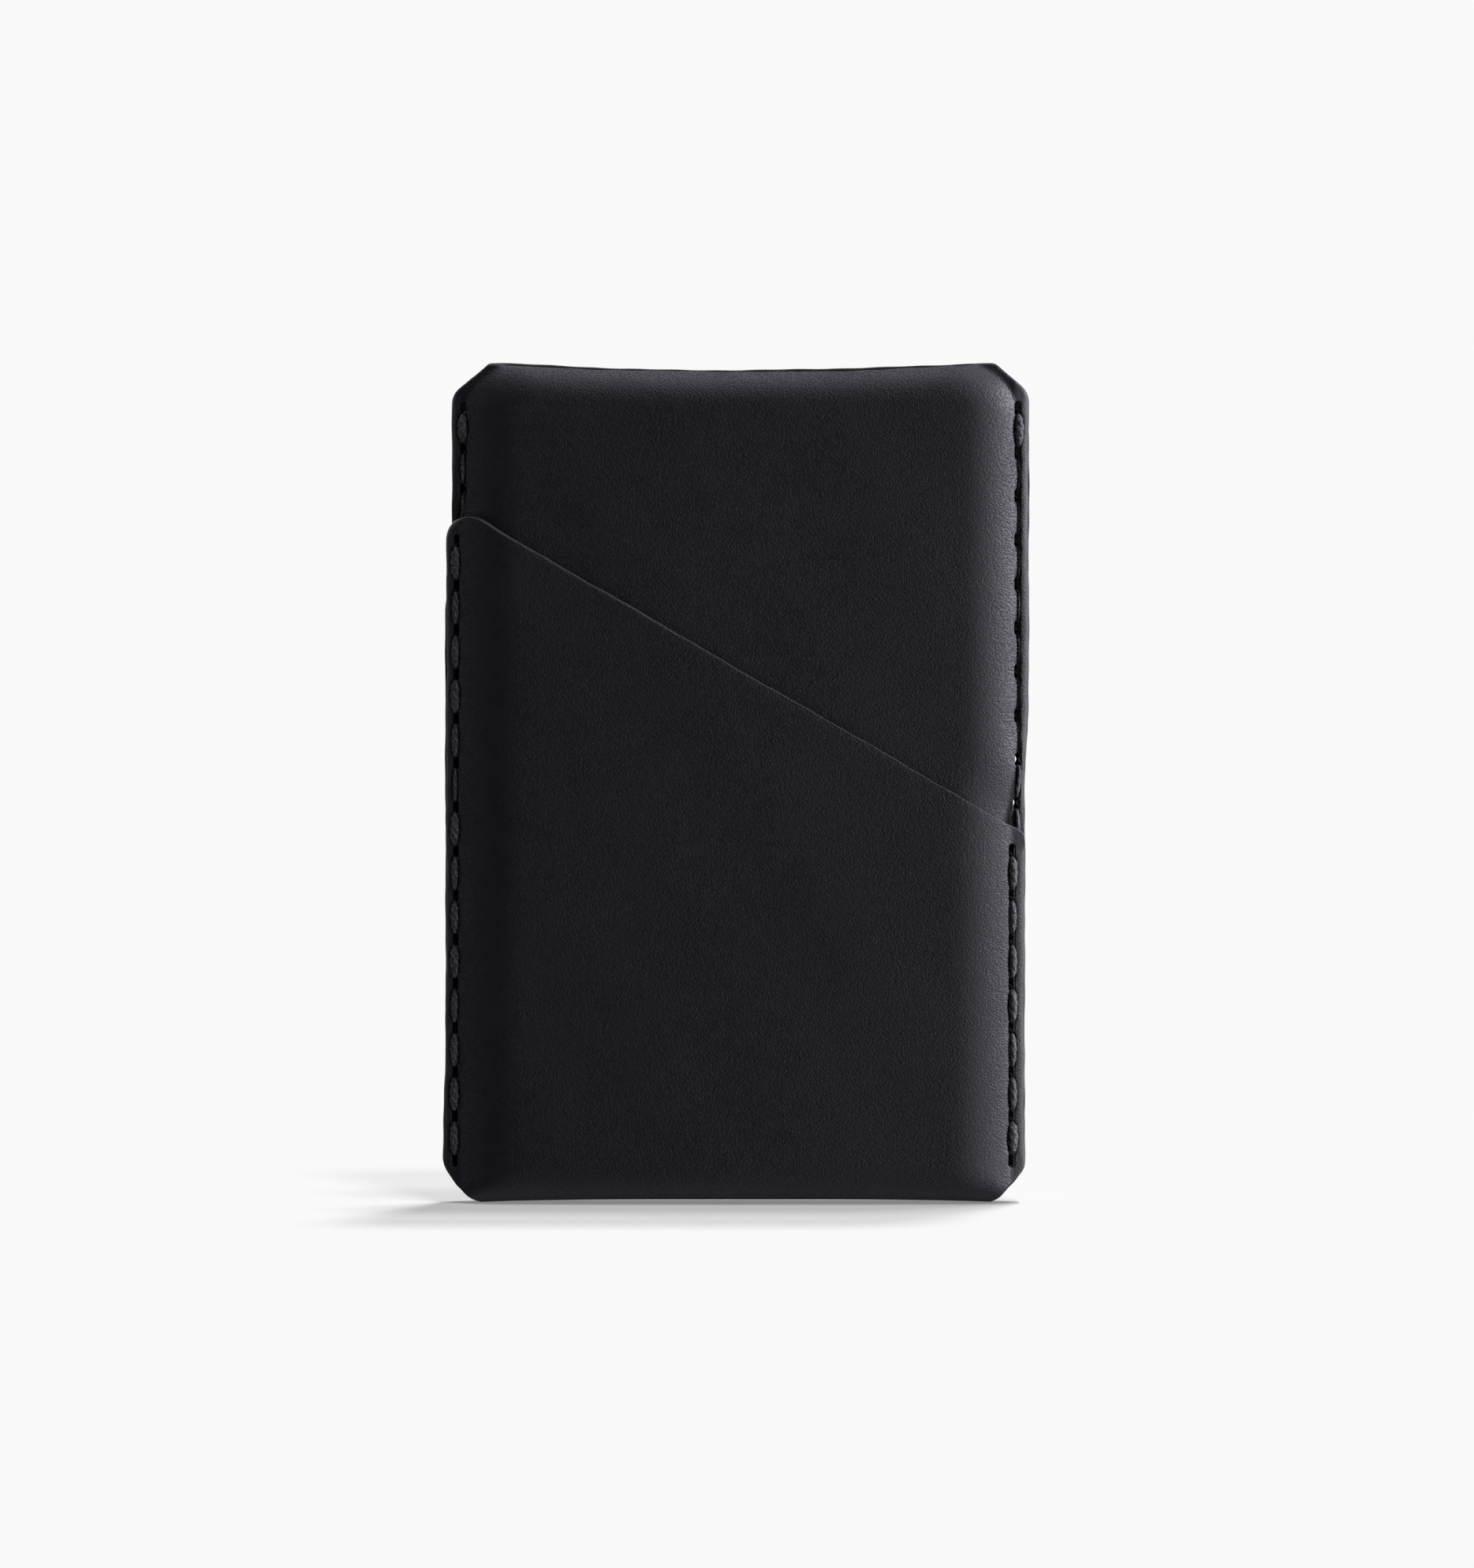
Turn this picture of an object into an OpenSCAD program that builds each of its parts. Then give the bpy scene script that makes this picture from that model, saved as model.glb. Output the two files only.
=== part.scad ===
// A moulded leather card holder: a wrapped strip and an inner panel, saddle stitched down both sides.
// X is the width, Y the thickness (the pocket faces -Y) and Z the height. The origin is the middle
// of the bounding box's bottom. Millimetres.

/* [Outline] */
// Height from the bottom fold to the top corners
holder_h = 101.5; // [95:0.5:110]
// Width of each leather layer, from cut edge to cut edge
leather_w = 69.85; // [69.5:0.05:71]
// How far the layers above the pocket sit to the right of the pocket
layer_shift = 0.65; // [0:0.05:0.8]
// Size of the cut across each corner
chamfer = 4.1; // [3:0.1:5]
// Radius that rounds the ends of each corner cut
corner_r = 2; // [0.5:0.1:2.4]
// Height at which the side edges step from the lower width to the upper one
step_z = 56; // [50:1:60]

/* [Leather] */
// Thickness of the leather
leather_t = 1.2; // [1:0.05:1.3]
// Air between two leather layers
layer_gap = 0.1; // [0.05:0.05:0.2]

/* [Moulding] */
// Half width of the flat front and back, which matches a 54 mm wide card
flat_half = 26.7; // [26:0.1:27.4]
// Width of the moulded flank of the inner panel, from the flat front to the crease at the seam
flank_w = 5.4; // [5:0.1:5.6]
// How far the front stands out from the seam
front_rise = 3.3; // [2.8:0.1:3.5]
// How far the back stands out from the seam
back_rise = 2.6; // [2.5:0.1:3]
// Height of the curled lip of the inner panel
lip_h = 3.8; // [3:0.1:5]
// How far the lip curls back
lip_depth = 2.2; // [1:0.1:2.4]
// Steepest tilt of the lip
lip_angle = 62; // [40:1:65]
// How far the top edge dips between the corners
top_dip = 0.86; // [0:0.02:1.2]
// How far the bottom fold rises between the corners
bottom_rise = 0.5; // [0:0.05:0.8]

/* [Pocket] */
// Slope of the pocket's mouth
mouth_angle = 30; // [20:1:32]
// Height of the mouth's line at the middle of the holder
mouth_z = 64.9; // [60:0.1:66]
// Radius of the pocket's upper tip
tip_r = 2.4; // [1:0.1:3]
// Radius of the pocket's lower end
mouth_end_r = 1; // [0.5:0.1:1.5]

/* [Stitching] */
// Number of holes in each seam
hole_n = 18; // [18:1:18]
// Height of the lowest hole
first_hole_z = 5.2; // [5:0.1:5.6]
// Distance from one hole to the next
hole_pitch = 5.34; // [5.3:0.01:5.36]
// Width of a hole
hole_w = 0.76; // [0.7:0.02:0.8]
// Length of a hole along the seam
hole_l = 1.3; // [1.2:0.05:1.4]
// Distance from the cut edge to the middle of a hole
stitch_inset = 1.35; // [1.3:0.05:1.4]
// Diameter of a strand at its middle
strand_d = 0.9; // [0.8:0.05:0.95]
// Diameter of a strand where it enters a hole
strand_end_d = 0.6; // [0.5:0.05:0.65]

/* [Hidden] */
$fn = 32;
leather_color = [0.07, 0.07, 0.085];
thread_color = [0.11, 0.105, 0.11];

// Faces of the layers at the seam. The inner panel's back face there is y = 0.
panel_face = leather_t;
pocket_face = 2 * leather_t + layer_gap;
back_face = leather_t + layer_gap;
// The outermost front and back, and the move that centres the holder on Y.
front_y = pocket_face + front_rise;
back_y = back_face + back_rise;
centre_y = (front_y - back_y) / 2;

// The pocket's flank is one layer outside the inner panel's, about the same centre.
function arc_r(w, drop) = (w * w + drop * drop) / (2 * drop);
panel_flank_r = arc_r(flank_w, front_rise);
pocket_flank_r = panel_flank_r + layer_gap + leather_t;
wrap_flank_w = sqrt(pow(pocket_flank_r, 2) - pow(pocket_flank_r - front_rise, 2));
arch_half = leather_w / 2 - chamfer - corner_r;

// Where the polyhedra end sideways, before the outline trims them.
trim_x = leather_w / 2 + 2;
// Midway between the pocket layer and the layers behind it.
divide_y = -(panel_face + layer_gap / 2);
// Beyond the holder in every direction.
far = 40;
// How finely the curves are divided, and the x values at which the flat face is divided.
flank_steps = 6;
fold_steps = 12;
lip_steps = 6;
flat_stations = [-18, -9, 0, 9, 18];

// How far a moulded face has fallen back towards the seam at x, on a flank of width w.
function fall(x, w, drop) =
    let(d = abs(x) - flat_half, r = arc_r(w, drop))
    d <= 0 ? 0 : d >= w ? drop : r - sqrt(r * r - d * d);

// The x values of one side's flank, from the flat to the crease.
function flank_x(w, drop) =
    let(r = arc_r(w, drop), a = asin(w / r))
    [for (i = [0:flank_steps]) flat_half + r * sin(a * i / flank_steps)];

function stations(w, drop) =
    let(side = flank_x(w, drop))
    concat([-trim_x], [for (i = [flank_steps:-1:0]) -side[i]], flat_stations, side, [trim_x]);

// A shallow arch over the width, 1 at the middle and 0 from just inside the corner cuts outwards.
function arch(x) = max(0, 1 - pow(x / arch_half, 2));
function top_z(x) = holder_h - top_dip * arch(x);
function bottom_z(x) = bottom_rise * arch(x);
function mouth_line(x) = mouth_z - x * tan(mouth_angle);

// The wrap's outer face at x: down the back, round the fold and up the pocket.
function wrap_row(x) =
    let(
        front = -front_y + fall(x, wrap_flank_w, front_rise),
        back = back_y - fall(x, wrap_flank_w, back_rise),
        r = (back - front) / 2,
        mid = (back + front) / 2,
        z = bottom_z(x) + r
    )
    concat(
        [[x, back, top_z(x)]],
        [for (i = [0:fold_steps]) let(a = 180 * i / fold_steps) [x, mid + r * cos(a), z - r * sin(a)]],
        [[x, front, mouth_line(x)]]
    );

// The inner panel's outer face at x: up the front and back over the curled lip.
function panel_row(x) =
    let(
        fallen = fall(x, flank_w, front_rise),
        y = -panel_face - front_rise + fallen,
        back = lip_depth * (1 - fallen / front_rise),
        fold_r = (front_y + back_y - fall(x, wrap_flank_w, front_rise)
            - fall(x, wrap_flank_w, back_rise)) / 2
    )
    concat(
        [[x, y, bottom_z(x) + fold_r + 2 * layer_gap]],
        [
            for (i = [0:lip_steps])
            let(a = lip_angle * i / lip_steps)
            [
                x,
                y + back * (1 - cos(a)) / (1 - cos(lip_angle)),
                top_z(x) - lip_h * (1 - sin(a) / sin(lip_angle))
            ]
        ]
    );

function unit(v) = v / norm(v);

// The point one leather thickness inside the outer face, mitred where the face creases at a station.
function inside(g, i, j) =
    let(
        last_i = len(g) - 1,
        last_j = len(g[0]) - 1,
        j0 = max(0, j - 1),
        j1 = min(last_j, j + 1),
        before = i > 0 ? unit(cross(g[i][j] - g[i - 1][j], g[i][j1] - g[i][j0])) : [0, 0, 0],
        after = i < last_i ? unit(cross(g[i + 1][j] - g[i][j], g[i][j1] - g[i][j0])) : [0, 0, 0],
        n = unit(before + after),
        side = i > 0 ? before : after
    )
    g[i][j] - n * leather_t / (n * side);

// A sheet of leather behind a grid of outer points, closed round its four borders.
module sheet(g) {
    rows = len(g);
    cols = len(g[0]);
    size = rows * cols;
    outer = [for (i = [0:rows - 1]) for (j = [0:cols - 1]) g[i][j]];
    inner = [for (i = [0:rows - 1]) for (j = [0:cols - 1]) inside(g, i, j)];
    border = concat(
        [for (j = [0:cols - 1]) j],
        [for (i = [1:rows - 1]) i * cols + cols - 1],
        [for (j = [cols - 2:-1:0]) (rows - 1) * cols + j],
        [for (i = [rows - 2:-1:1]) i * cols]
    );
    quads = [
        for (i = [0:rows - 2]) for (j = [0:cols - 2])
        let(a = i * cols + j)
        [a, a + 1, a + cols + 1, a + cols]
    ];
    // From a corner of the outer face to the same corner of the inner one.
    behind = [size, size, size];
    faces = concat(
        [for (q = quads) each [[q[0], q[1], q[2]], [q[0], q[2], q[3]]]],
        [for (q = quads) each [[q[2], q[1], q[0]] + behind, [q[3], q[2], q[0]] + behind]],
        [
            for (k = [0:len(border) - 1])
            let(a = border[k], b = border[(k + 1) % len(border)])
            each [[b, a, a + size], [b, a + size, b + size]]
        ]
    );
    polyhedron(concat(outer, inner), faces);
}

// Outline corners [x, z, radius], with each corner turned into an arc.
function rounded(corners) =
    let(n = len(corners))
    [
        for (k = [0:n - 1])
        let(
            p = [corners[k][0], corners[k][1]],
            r = corners[k][2],
            a = unit([corners[(k + n - 1) % n][0], corners[(k + n - 1) % n][1]] - p),
            b = unit([corners[(k + 1) % n][0], corners[(k + 1) % n][1]] - p),
            half = acos(a * b) / 2,
            centre = p + unit(a + b) * r / sin(half),
            start = p + a * r / tan(half) - centre,
            turn = cross(start, p + b * r / tan(half) - centre) > 0 ? 1 : -1,
            steps = max(1, ceil((180 - 2 * half) / 12))
        )
        for (s = [0:steps])
        let(t = turn * (180 - 2 * half) * s / steps)
        centre + [start[0] * cos(t) - start[1] * sin(t), start[0] * sin(t) + start[1] * cos(t)]
    ];

lower_left = -(leather_w + layer_shift) / 2;
lower_right = lower_left + leather_w;
upper_left = lower_left + layer_shift;
upper_right = lower_right + layer_shift;
// Half the height over which a side edge steps across.
step_h = 4;

body_outline = rounded([
    [lower_left + chamfer, 0, corner_r],
    [lower_right - chamfer, 0, corner_r],
    [lower_right, chamfer, corner_r],
    [lower_right, step_z - step_h, corner_r],
    [upper_right, step_z + step_h, corner_r],
    [upper_right, holder_h - chamfer, corner_r],
    [upper_right - chamfer, holder_h, corner_r],
    [upper_left + chamfer, holder_h, corner_r],
    [upper_left, holder_h - chamfer, corner_r],
    [upper_left, step_z + step_h, corner_r],
    [lower_left, step_z - step_h, corner_r],
    [lower_left, chamfer, corner_r]
]);

// The pocket ends along the slope of its mouth, rounded at the tip and at the lower end.
pocket_outline = rounded([
    [lower_left + chamfer, 0, corner_r],
    [lower_right - chamfer, 0, corner_r],
    [lower_right, chamfer, corner_r],
    [lower_right, mouth_line(lower_right), mouth_end_r],
    [lower_left, mouth_line(lower_left), tip_r],
    [lower_left, chamfer, corner_r]
]);

// A prism of an outline, from one y to another.
module slab(outline, from, to) {
    translate([0, to, 0]) rotate([90, 0, 0]) linear_extrude(to - from) polygon(outline);
}

function hole_z(k) = first_hole_z + k * hole_pitch;
// A hole is in the pocket if it is below the mouth, on that side.
function in_pocket(k, side) = hole_z(k) < mouth_line(side * (leather_w / 2 - stitch_inset));
function hole_x(k, side) =
    side < 0
    ? (in_pocket(k, side) ? lower_left : upper_left) + stitch_inset
    : (in_pocket(k, side) ? lower_right : upper_right) - stitch_inset;

// A round-ended slot along Y, of the given width and length.
module slot(w, l, from, to) {
    translate([0, to, 0]) rotate([90, 0, 0]) linear_extrude(to - from) union() {
        square([w, l - w], center = true);
        for (s = [-1, 1]) translate([0, s * (l - w) / 2]) circle(d = w);
    }
}

module stitch_holes() {
    for (side = [-1, 1]) for (k = [0:hole_n - 1])
        translate([hole_x(k, side), 0, hole_z(k)]) slot(hole_w, hole_l, -far, far);
}

// A strand along Z from 0 to l, thickest at its middle.
module strand(l) {
    steps = 6;
    rotate_extrude() polygon(concat(
        [[0, 0]],
        [
            for (i = [0:steps])
            [(strand_end_d + (strand_d - strand_end_d) * sin(180 * i / steps)) / 2, l * i / steps]
        ],
        [[0, l]]
    ));
}

// A strand from one point to another.
module strand_between(a, b) {
    d = b - a;
    translate(a) rotate([0, acos(d[2] / norm(d)), atan2(d[1], d[0])]) strand(norm(d));
}

// Air between a strand and the leather, and the strand's distance from the face.
strand_gap = 0.04;
strand_out = strand_d / 2 + strand_gap;
// Width and length of the two strands that pass side by side through a hole.
leg_w = 0.6;
leg_l = 1.1;
// How far from the middle of a hole a strand starts.
strand_start = 0.2;

// The y of the front strand that leaves hole k upwards: it stays on the pocket where the pocket reaches.
function strand_y(k, side) = -(in_pocket(k, side) ? pocket_face : panel_face) - strand_out;

module seam_thread(side) {
    for (k = [0:hole_n - 1])
        translate([hole_x(k, side), 0, hole_z(k)])
            slot(leg_w, leg_l, strand_y(max(0, k - 1), side), back_face + strand_out);
    for (k = [0:hole_n - 2]) {
        low = [hole_x(k, side), 0, hole_z(k) + strand_start];
        high = [hole_x(k + 1, side), 0, hole_z(k + 1) - strand_start];
        for (y = [strand_y(k, side), back_face + strand_out]) strand_between(low + [0, y, 0], high + [0, y, 0]);
    }
}

module outer_wrap() {
    grid = [for (x = stations(wrap_flank_w, front_rise)) wrap_row(x)];
    color(leather_color) translate([0, centre_y, 0]) difference() {
        intersection() {
            sheet(grid);
            union() {
                slab(pocket_outline, -far, divide_y);
                slab(body_outline, divide_y, far);
            }
        }
        stitch_holes();
    }
}

module inner_panel() {
    grid = [for (x = stations(flank_w, front_rise)) panel_row(x)];
    color(leather_color) translate([0, centre_y, 0]) difference() {
        intersection() {
            sheet(grid);
            slab(body_outline, -far, far);
        }
        stitch_holes();
    }
}

module left_seam_thread() {
    color(thread_color) translate([0, centre_y, 0]) seam_thread(-1);
}

module right_seam_thread() {
    color(thread_color) translate([0, centre_y, 0]) seam_thread(1);
}

outer_wrap();
inner_panel();
left_seam_thread();
right_seam_thread();
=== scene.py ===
"""A black moulded leather card holder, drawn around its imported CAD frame.

Two sheets of leather (a wrap that makes the slanted front pocket, the bottom fold and the back, and
an inner panel behind the pocket) are cut, moulded and pierced from their outlines, and one waxed
thread is saddle stitched through each side. Shapes are worked out in millimetres, in the CAD's axes,
and turned into metres as each mesh is made.
"""

import math

import bpy
import numpy as np
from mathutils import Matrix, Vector
from mathutils.geometry import delaunay_2d_cdt
from mathutils.kdtree import KDTree


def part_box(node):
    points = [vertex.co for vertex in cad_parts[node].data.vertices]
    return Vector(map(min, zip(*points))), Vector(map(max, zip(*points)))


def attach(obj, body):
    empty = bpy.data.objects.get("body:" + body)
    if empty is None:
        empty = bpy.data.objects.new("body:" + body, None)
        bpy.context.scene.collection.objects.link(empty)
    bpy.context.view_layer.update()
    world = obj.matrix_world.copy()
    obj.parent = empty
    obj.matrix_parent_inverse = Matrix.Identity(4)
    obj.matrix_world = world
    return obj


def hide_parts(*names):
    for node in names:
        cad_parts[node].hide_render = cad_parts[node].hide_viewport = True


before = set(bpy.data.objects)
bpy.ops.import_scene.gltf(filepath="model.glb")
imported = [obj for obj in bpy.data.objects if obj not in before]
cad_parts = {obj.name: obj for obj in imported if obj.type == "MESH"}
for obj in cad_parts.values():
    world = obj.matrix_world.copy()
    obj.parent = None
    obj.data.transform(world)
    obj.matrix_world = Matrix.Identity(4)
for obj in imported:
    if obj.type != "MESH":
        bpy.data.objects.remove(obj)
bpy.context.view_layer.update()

# ---------------------------------------------------------------- sizes from the frame

MM = 0.001


def cad_box(node):
    """A CAD node's lowest and highest corners, in millimetres."""
    return [np.array(corner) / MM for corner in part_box(node)]


wrap_low, wrap_high = cad_box("outer_wrap")
panel_high = cad_box("inner_panel")[1]

HEIGHT = wrap_high[2]
FRONT_Y, BACK_Y = wrap_low[1], wrap_high[1]
SEAM_Y = panel_high[1]  # the inner panel's back face where it is sewn

# ---------------------------------------------------------------- leather sizes, in millimetres

LEATHER = 1.2
GAP = 0.1  # between two layers
PANEL_FACE = SEAM_Y - LEATHER
POCKET_FACE = PANEL_FACE - GAP - LEATHER
BACK_FACE = SEAM_Y + GAP + LEATHER
FRONT_RISE = POCKET_FACE - FRONT_Y
BACK_RISE = BACK_Y - BACK_FACE

# The side edges, below the pocket's mouth and above it, where both stand further right.
LEFT_SHIFT, RIGHT_SHIFT = 0.85, 0.45
LOWER_LEFT, LOWER_RIGHT = wrap_low[0], wrap_high[0] - RIGHT_SHIFT
UPPER_LEFT, UPPER_RIGHT = wrap_low[0] + LEFT_SHIFT, wrap_high[0]
CHAMFER = 4.1
ARCH_HALF, BOTTOM_HALF = 28.8, 32.0  # where the top and the bottom edge stop curving
FLARE = 0.45  # how far the pocket's lower left corner spreads

FLAT_HALF = 26.5  # half the width of the flat field that a card moulds
PANEL_FLANK_W = 6.2
PANEL_SPREAD = 0.5  # how much further out the inner panel's flank ends above the mouth
BACK_FLANK_W = 5.7
LIP_H = 4.2  # the height over which the panel's top edge curls back
LIP_SQUEEZE = 1.35  # how much sooner the lip turns than the flanks
FIELD_CORNER_R = 2.0
CREASE = 0.35  # how softly a flank meets the sewn edge
CROWN = 0.5  # how far the middle of a face stands out from its rim
WOBBLE = 0.03  # how uneven a face is
TOP_DIP = 0.86
BOTTOM_RISE = 0.36

MOUTH_SLOPE = math.tan(math.radians(30))
MOUTH_Z = 64.9
MOUTH_BLEND = 9  # the height above the mouth over which the sheets behind take their upper shape
TIP_R, MOUTH_END_R = 2.8, 1.2  # the mouth's corners, left and right

# ---------------------------------------------------------------- stitching sizes, in millimetres

HOLES = 18  # in each seam, numbered from 0 at the bottom
TOP = HOLES - 1
STITCH_INSET = 1.35
HOLE_W, HOLE_L = 0.76, 1.75
FIRST_HOLE_Z, TOP_HOLE_Z = 5.2, 96.1
LOWER_PITCH = 5.35
UPPER_PITCH = {-1: 4.86, 1: 5.3}  # left, right
LAST_POCKET_HOLE = {-1: 14, 1: 7}
SLANT = -0.85  # how far outwards the awl drifted from the front face to the back one
# How far holes (side, number) are out of line: the lower ones on both sides stand further left.
DRIFT = {
    **{(-1, k): -0.02 * (14 - k) for k in range(14)},
    **{(1, k): -0.22 for k in range(8)},
    (1, 8): -0.14,
    (1, 9): 0.1,
}
SEE_THROUGH = {(1, 8): -0.47, (1, 9): -0.5}  # the awl's drift at the holes (side, number) that show daylight
# How broadly stitches (side, number) lie that were pulled under, into a narrow groove.
TIGHT = {**{(1, k): 0.3 for k in range(9, 16)}, (-1, 15): 0.5}
LEAN = {8: 0.5, 14: 0.6}  # the same for the stitches of either side that are slim
CHANNEL = 0.3  # how deep the thread lies in the leather
FLANGE_FALL = 0.6  # how far the face falls from just inside the seam to the cut edge

# ---------------------------------------------------------------- shape functions


def soft_min(a, b, k):
    """The lower of a and b, blended where they are within k of each other."""
    h = np.clip(0.5 + 0.5 * (b - a) / k, 0, 1)
    return b * (1 - h) + a * h - k * h * (1 - h)


def smooth(x):
    """From 0 up to 1 in an S-curve while x goes from 0 to 1."""
    x = np.clip(x, 0, 1)
    return x * x * (3 - 2 * x)


def arch(x):
    """A shallow arch over the width: 1 at the middle, 0 at the corner cuts."""
    return np.maximum(0, 1 - (x / ARCH_HALF) ** 2)


def top_z(x):
    return HEIGHT - TOP_DIP * arch(x)


def bottom_z(x):
    return BOTTOM_RISE * np.maximum(0, 1 - (x / BOTTOM_HALF) ** 4)


def mouth_z(x):
    """Height of the slanted pocket mouth."""
    return MOUTH_Z - MOUTH_SLOPE * x


def above_mouth(x, z):
    """0 behind the pocket, 1 clear of its mouth."""
    return smooth((z - mouth_z(x) + 1) / MOUTH_BLEND)


def field_x(x, z):
    """Distance from the middle of the moulded field, which sits further right above the mouth."""
    lower, upper = (LOWER_LEFT + LOWER_RIGHT) / 2, (UPPER_LEFT + UPPER_RIGHT) / 2
    return np.abs(x - lower - (upper - lower) * above_mouth(x, z))


def arc_radius(width, drop):
    """The radius of an arc that falls by drop over its width."""
    return (width**2 + drop**2) / (2 * drop)


PANEL_FLANK_R = arc_radius(PANEL_FLANK_W, FRONT_RISE)
POCKET_FLANK_R = PANEL_FLANK_R + GAP + LEATHER
BACK_FLANK_R = arc_radius(BACK_FLANK_W, BACK_RISE)


def height(u, z, top, radius, rise, lip):
    """How far a moulded face stands out from its sewn edge, u from its middle. lip is the height that the
    curl at the top takes."""
    across = np.maximum(0, u - FLAT_HALF + FIELD_CORNER_R)
    up = np.maximum(0, LIP_SQUEEZE * (z - top + lip) + FIELD_CORNER_R) if lip else 0
    d = np.hypot(across, up) - FIELD_CORNER_R
    d = np.clip(d, 0, radius * 0.98)
    fallen = soft_min(radius - np.sqrt(radius**2 - d**2), rise, CREASE)
    crown = CROWN * np.clip(u / FLAT_HALF, 0, 1.2) ** 2.4
    return np.maximum(0, rise - fallen) * (1 - crown / rise)


def wobble(x, z):
    """The slow unevenness of a hand-moulded face."""
    return WOBBLE * (
        np.sin(x * 0.21 + 0.6) * np.sin(z * 0.13 + 1.1)
        + 0.6 * np.sin(x * 0.37 + z * 0.22 + 2.0)
        + 0.4 * np.sin(z * 0.41 - x * 0.17)
    )


def in_pocket(side, k):
    """Whether hole k of this side, -1 for left and 1 for right, goes through the pocket."""
    return k <= LAST_POCKET_HOLE[side]


def hole_z(side, k):
    if in_pocket(side, k):
        return FIRST_HOLE_Z + k * LOWER_PITCH
    return TOP_HOLE_Z - (TOP - k) * UPPER_PITCH[side]


def hole_x(side, k, layer):
    """The middle of a hole on a layer's outer face."""
    left, right = (LOWER_LEFT, LOWER_RIGHT) if in_pocket(side, k) else (UPPER_LEFT, UPPER_RIGHT)
    front = right - STITCH_INSET if side > 0 else left + STITCH_INSET
    front += DRIFT.get((side, k), 0)
    slant = SEE_THROUGH.get((side, k), SLANT)
    depth = {"pocket": 0, "panel": 0.34 if in_pocket(side, k) else 0, "back": 1}[layer]
    return front + side * slant * depth


def looseness(side, k):
    """How broadly the stitch above hole k lies: about 1, or much less where it was pulled under."""
    if (side, k) in TIGHT:
        return TIGHT[side, k]
    if k in LEAN:
        return LEAN[k]
    return 0.98 + 0.17 * math.sin(2.1 * k + side) + (0.2 if k in (0, TOP - 1) else 0)


def channel(x, z, layer):
    """How far the thread has sunk a face in along its holes, and the face has fallen outside them."""
    wall, run_out, crest = 0.2, 0.6, 0.45  # the groove's wall, its ends, and where the fall starts
    total = 0
    for side in (-1, 1):
        zs = np.array([hole_z(side, k) for k in range(HOLES)])
        line = np.interp(z, zs, [hole_x(side, k, layer) for k in range(HOLES)])
        middles = (zs[1:] + zs[:-1]) / 2
        loose = np.interp(z, middles, [looseness(side, k) for k in range(TOP)])
        e = (x - line) * side - 0.05  # outwards from the groove's middle
        between = np.sin(math.pi * np.interp(z, zs, np.arange(HOLES))) ** 2
        half = 0.24 + (0.5 * loose - 0.3) * between
        across = smooth((e + half + wall / 2) / wall) - smooth((e - half + wall / 2) / wall)
        end = zs[LAST_POCKET_HOLE[side] if layer == "pocket" else TOP]
        along = smooth((z - zs[0] + run_out / 2) / run_out) * smooth((end + run_out / 2 - z) / run_out)
        deeper = 1.5 - 0.5 * smooth(loose * 2 - 0.6)
        total = total + CHANNEL * deeper * across * along
        total = total + FLANGE_FALL * np.clip((e + crest) / (STITCH_INSET + crest), 0, 1) ** 1.25
    return total


# ---------------------------------------------------------------- the two sheets as surfaces


def panel_height(x, z):
    spread = PANEL_SPREAD * above_mouth(x, z)
    return height(field_x(x, z) - spread, z, top_z(x), PANEL_FLANK_R, FRONT_RISE, LIP_H)


def pocket_height(x, z):
    return height(field_x(x, z), z, HEIGHT, POCKET_FLANK_R, FRONT_RISE, 0)


def back_height(x, z):
    return height(field_x(x, z), z, HEIGHT, BACK_FLANK_R, BACK_RISE, 0)


def panel_surface(x, t):
    """The inner panel's outer face at x and height t."""
    return np.stack([x, PANEL_FACE - panel_height(x, t) - wobble(x, t), t], -1)


def fold_radius(x):
    """Half the holder's thickness just above the fold."""
    low = np.full_like(x, 2.0)
    return (BACK_FACE + back_height(x, low) - POCKET_FACE + pocket_height(x, low)) / 2


def fold_top(x):
    """Where the fold ends and the two straight faces begin."""
    return bottom_z(x) + fold_radius(x)


def wrap_surface(x, t):
    """The wrap's outer face at x. t is the height on the pocket and minus the height on the back, and it
    turns through the fold between."""
    top = fold_top(x)
    angle = math.pi * np.clip((t + top) / (2 * top), 0, 1)
    z = np.where(np.abs(t) > top, np.abs(t), top - fold_radius(x) * np.sin(angle))
    front = POCKET_FACE - pocket_height(x, z) - wobble(x, z)
    back = BACK_FACE + back_height(x, z) + wobble(x + 40, z)
    middle, half = (front + back) / 2, (back - front) / 2
    return np.stack([x, middle + half * np.cos(angle), z], -1)


def normals(surface, x, t):
    """The surface's outward unit normals."""
    step = 0.03
    along = surface(x + step, t) - surface(x - step, t)
    up = surface(x, t + step) - surface(x, t - step)
    n = np.cross(along, up)
    return n / np.linalg.norm(n, axis=-1, keepdims=True)


# ---------------------------------------------------------------- outlines


def rounded(corners, step=0.35):
    """A closed outline from corners (x, z, radius), as points about step apart, anticlockwise."""
    corner = [np.array(c[:2], float) for c in corners]
    arcs = []
    for i, p in enumerate(corner):
        a, b = corner[i - 1] - p, corner[(i + 1) % len(corner)] - p
        a, b = a / np.linalg.norm(a), b / np.linalg.norm(b)
        half = math.acos(np.clip(a @ b, -1, 1)) / 2
        r = corners[i][2]
        centre = p + (a + b) / np.linalg.norm(a + b) * r / math.sin(half)
        start, end = p + a * r / math.tan(half) - centre, p + b * r / math.tan(half) - centre
        turn = math.copysign(math.pi - 2 * half, start[0] * end[1] - start[1] * end[0])
        steps = max(3, math.ceil(r * abs(turn) / step))
        angles = math.atan2(start[1], start[0]) + turn * np.arange(steps + 1) / steps
        arcs.append(centre + r * np.stack([np.cos(angles), np.sin(angles)], 1))
    points = []
    for i, arc in enumerate(arcs):
        start, end = arc[-1], arcs[(i + 1) % len(arcs)][0]
        n = max(1, round(np.linalg.norm(end - start) / step))
        points += [arc, start + (end - start) * np.arange(1, n)[:, None] / n]
    return np.vstack(points)


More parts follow.
